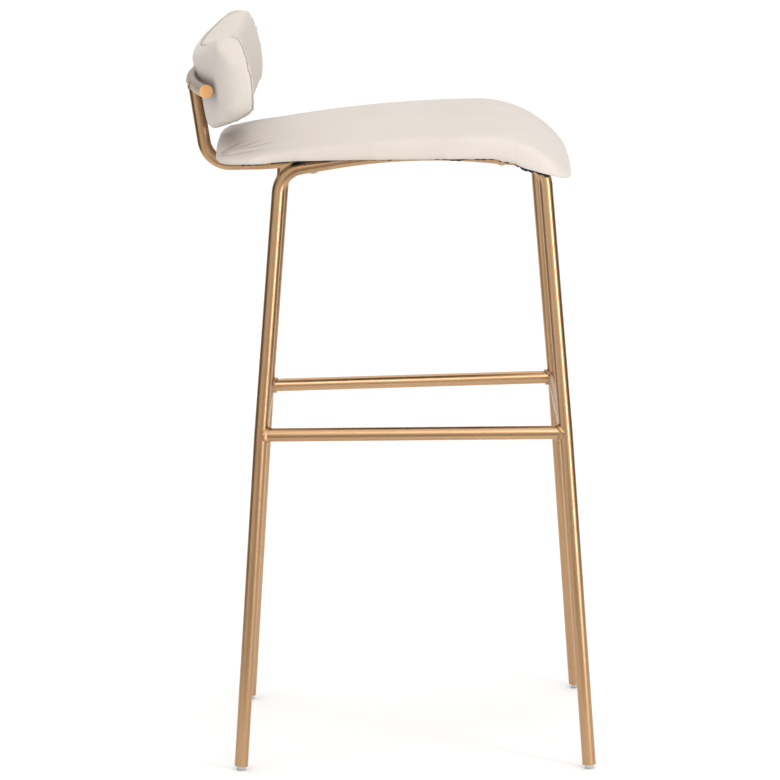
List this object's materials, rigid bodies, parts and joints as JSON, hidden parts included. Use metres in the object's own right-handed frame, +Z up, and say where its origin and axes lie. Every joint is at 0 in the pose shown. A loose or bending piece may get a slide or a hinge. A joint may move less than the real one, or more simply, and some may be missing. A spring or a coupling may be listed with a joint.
{
  "type": "bar stool with footrest",
  "caption": "Bar stool with two bent brass side frames, a ring of foot rails, an upholstered saddle seat and a curved back pad on one bent spine tube.",
  "frame": {"origin": "on the floor, under the middle of the stool's bounding box", "axes": "+X towards the stool's own left and right alike (symmetry plane X = 0), +Y towards the back, +Z up; the sitter faces -Y"},
  "size_m": [0.4576, 0.4746, 0.8762],
  "materials": {
    "brass_tube": "brushed satin, lightly lacquered",
    "clear_glide": "frosted clear plastic",
    "plywood": "sanded moulded plywood",
    "foam": "cut upholstery foam",
    "leather": "matt off-white leather with fine grain",
    "dust_cloth": "black non-woven cloth",
    "steel": "zinc plated"
  },
  "bodies": {
    "root": {"left_side_frame": "brass_tube", "right_side_frame": "brass_tube", "left_foot_rail": "brass_tube", "right_foot_rail": "brass_tube", "front_foot_rail": "brass_tube", "rear_foot_rail": "brass_tube", "foot_rail_welds": "brass_tube", "front_crossbar": "brass_tube", "rear_crossbar": "brass_tube", "seat_tabs": "brass_tube", "crossbar_welds": "brass_tube", "back_spine": "brass_tube", "back_bar": "brass_tube", "bar_end_caps": "brass_tube", "back_welds": "brass_tube", "front_left_glide": "clear_glide", "front_right_glide": "clear_glide", "rear_left_glide": "clear_glide", "rear_right_glide": "clear_glide", "seat_board": "plywood", "back_board": "plywood", "seat_foam": "foam", "back_foam": "foam", "seat_cover": "leather", "back_front_cover": "leather", "back_rear_cover": "leather", "dust_cover": "dust_cloth", "dust_cover_staples": "steel", "seat_screws": "steel", "seat_washers": "steel", "seat_tee_nuts": "steel", "back_screws": "steel", "back_tee_nuts": "steel"}
  },
  "joints": []
}
